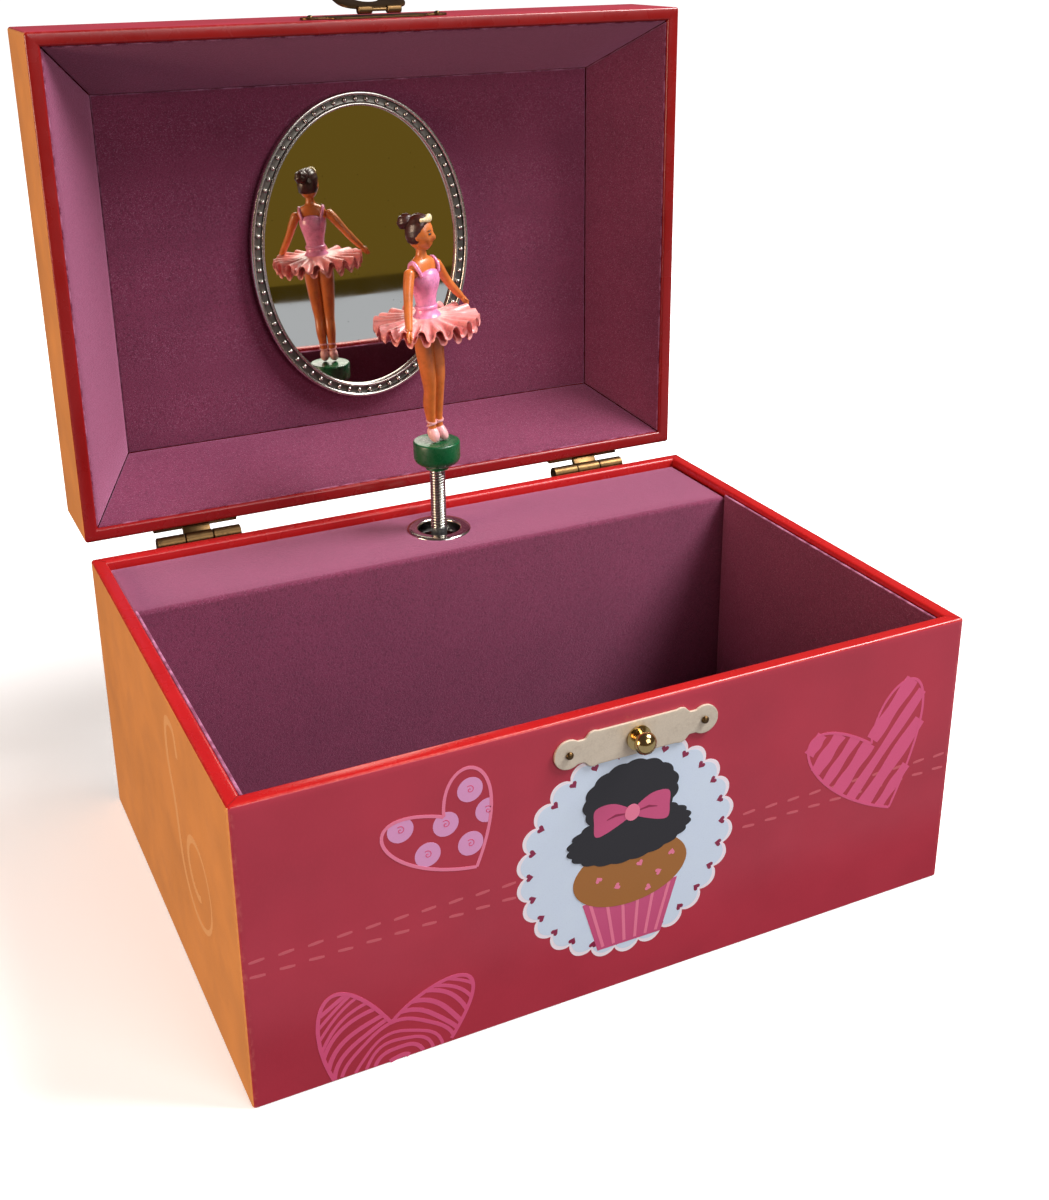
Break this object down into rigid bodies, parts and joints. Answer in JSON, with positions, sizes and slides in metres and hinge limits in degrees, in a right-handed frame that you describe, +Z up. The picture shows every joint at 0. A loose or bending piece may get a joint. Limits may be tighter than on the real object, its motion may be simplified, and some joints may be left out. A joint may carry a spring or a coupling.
{
  "type": "wind up music box",
  "caption": "Papered board box with a hinged mirrored lid, a front catch, and a dancer on a spring turned by a wind up movement.",
  "frame": {"origin": "centre of the underside of the base, at table level", "axes": "+X to the right, +Y to the back, towards the hinges and the key, and +Z up"},
  "size_m": [0.18, 0.1685, 0.2121],
  "materials": {
    "raspberry_paper": "satin coated paper over board",
    "gold_paper": "satin coated paper over board",
    "board": "medium density board with a paper underside",
    "plum_flock": "short flock on card",
    "chrome": "bright plated",
    "mirror": "silvered glass",
    "nickel_plate": "pale nickel plated sheet steel",
    "antique_brass": "antique brass plated sheet steel",
    "movement_steel": "plain steel and zinc casting",
    "movement_brass": "plain brass",
    "green_plastic": "moulded plastic",
    "figure_brown": "moulded and painted plastic",
    "skirt_pink": "stiff moulded ruffle"
  },
  "bodies": {
    "box": {"base_panel": "board", "front_wall": "raspberry_paper", "back_wall": "raspberry_paper", "left_wall": "gold_paper", "right_wall": "gold_paper", "floor_lining": "plum_flock", "front_lining": "plum_flock", "left_lining": "plum_flock", "right_lining": "plum_flock", "partition": "plum_flock", "ledge_cover": "plum_flock", "spindle_eyelet": "chrome", "catch_plate": "nickel_plate", "catch_knob": "antique_brass", "catch_nail_left": "nickel_plate", "catch_nail_right": "nickel_plate", "hinge_lower_leaf_left": "antique_brass", "hinge_lower_leaf_right": "antique_brass", "hinge_pin_left": "antique_brass", "hinge_pin_right": "antique_brass", "movement_bedplate": "movement_steel", "comb": "movement_steel", "comb_screw_lower": "movement_steel", "comb_screw_upper": "movement_steel", "spring_housing": "movement_steel", "mainspring": "movement_steel", "governor_bracket": "movement_steel", "movement_screw_left": "movement_steel", "movement_screw_right": "movement_steel"},
    "lid": {"lid_top_panel": "raspberry_paper", "lid_front_wall": "raspberry_paper", "lid_back_wall": "raspberry_paper", "lid_left_wall": "gold_paper", "lid_right_wall": "gold_paper", "lid_lining_panel": "plum_flock", "lid_lining_front": "plum_flock", "lid_lining_back": "plum_flock", "lid_lining_left": "plum_flock", "lid_lining_right": "plum_flock", "mirror_frame": "chrome", "mirror_glass": "mirror", "latch_plate": "antique_brass", "latch_pin": "antique_brass", "hinge_upper_leaf_left": "antique_brass", "hinge_upper_leaf_right": "antique_brass"},
    "latch": {"latch_hasp": "antique_brass"},
    "key": {"winding_arbor": "movement_steel", "winding_key": "movement_brass"},
    "great_wheel": {"great_wheel": "movement_brass"},
    "cylinder": {"cylinder": "movement_brass", "cylinder_pinion": "movement_brass", "cylinder_wheel": "movement_brass", "spindle": "movement_steel"},
    "governor_wheel": {"governor_wheel": "movement_brass"},
    "governor_fan": {"governor_fan": "movement_brass"},
    "stop_wire": {"stop_wire": "movement_steel"},
    "dancer_stem": {"dancer_spring": "chrome"},
    "dancer": {"dancer_base": "green_plastic", "dancer_figure": "figure_brown", "dancer_skirt": "skirt_pink"}
  },
  "joints": [
    {"name": "lid_hinge", "type": "hinge", "parent": "box", "child": "lid", "pos_m": [0, 0.0686, 0.072], "axis": [1, 0, 0], "range_deg": [0, 90.6]},
    {"name": "latch_swing", "type": "hinge", "parent": "lid", "child": "latch", "pos_m": [0, 0.07342, 0.20776], "axis": [1, 0, 0], "range_deg": [0, 165]},
    {"name": "key_wind", "type": "hinge", "parent": "box", "child": "key", "pos_m": [0.002, 0.0476, 0.02], "axis": [0, 1, 0], "continuous": true},
    {"name": "cylinder_spin", "type": "hinge", "parent": "box", "child": "cylinder", "pos_m": [0.002, 0.0476, 0.0363], "axis": [0, 0, 1], "continuous": true},
    {"name": "great_wheel_spin", "type": "hinge", "parent": "box", "child": "great_wheel", "pos_m": [0.002, 0.0476, 0.02], "axis": [0, 1, 0], "continuous": true},
    {"name": "governor_wheel_spin", "type": "hinge", "parent": "box", "child": "governor_wheel", "pos_m": [-0.0085, 0.0476, 0.061], "axis": [0, 0, 1], "continuous": true},
    {"name": "governor_fan_spin", "type": "hinge", "parent": "box", "child": "governor_fan", "pos_m": [-0.01665, 0.0476, 0.0618], "axis": [0, 1, 0], "continuous": true},
    {"name": "stop_wire_push", "type": "slide", "parent": "box", "child": "stop_wire", "axis": [0, 0, -1], "range_m": [0, 0.004]},
    {"name": "dancer_tilt", "type": "hinge", "parent": "box", "child": "dancer_stem", "pos_m": [0.002, 0.0476, 0.077], "axis": [1, 0, 0], "range_deg": [0, 88]},
    {"name": "dancer_spin", "type": "hinge", "parent": "dancer_stem", "child": "dancer", "pos_m": [0.002, 0.0476, 0.077], "axis": [0, 0, 1], "continuous": true}
  ],
  "couplings": [
    {"joint": "great_wheel_spin", "follows": "cylinder_spin", "ratio": -0.32},
    {"joint": "governor_wheel_spin", "follows": "cylinder_spin", "ratio": -3.2},
    {"joint": "governor_fan_spin", "follows": "cylinder_spin", "ratio": -76.8},
    {"joint": "dancer_spin", "follows": "cylinder_spin", "ratio": 1},
    {"joint": "dancer_tilt", "follows": "lid_hinge", "ratio": 0.97},
    {"joint": "stop_wire_push", "follows": "lid_hinge", "m_per_rad": 0.0025}
  ]
}
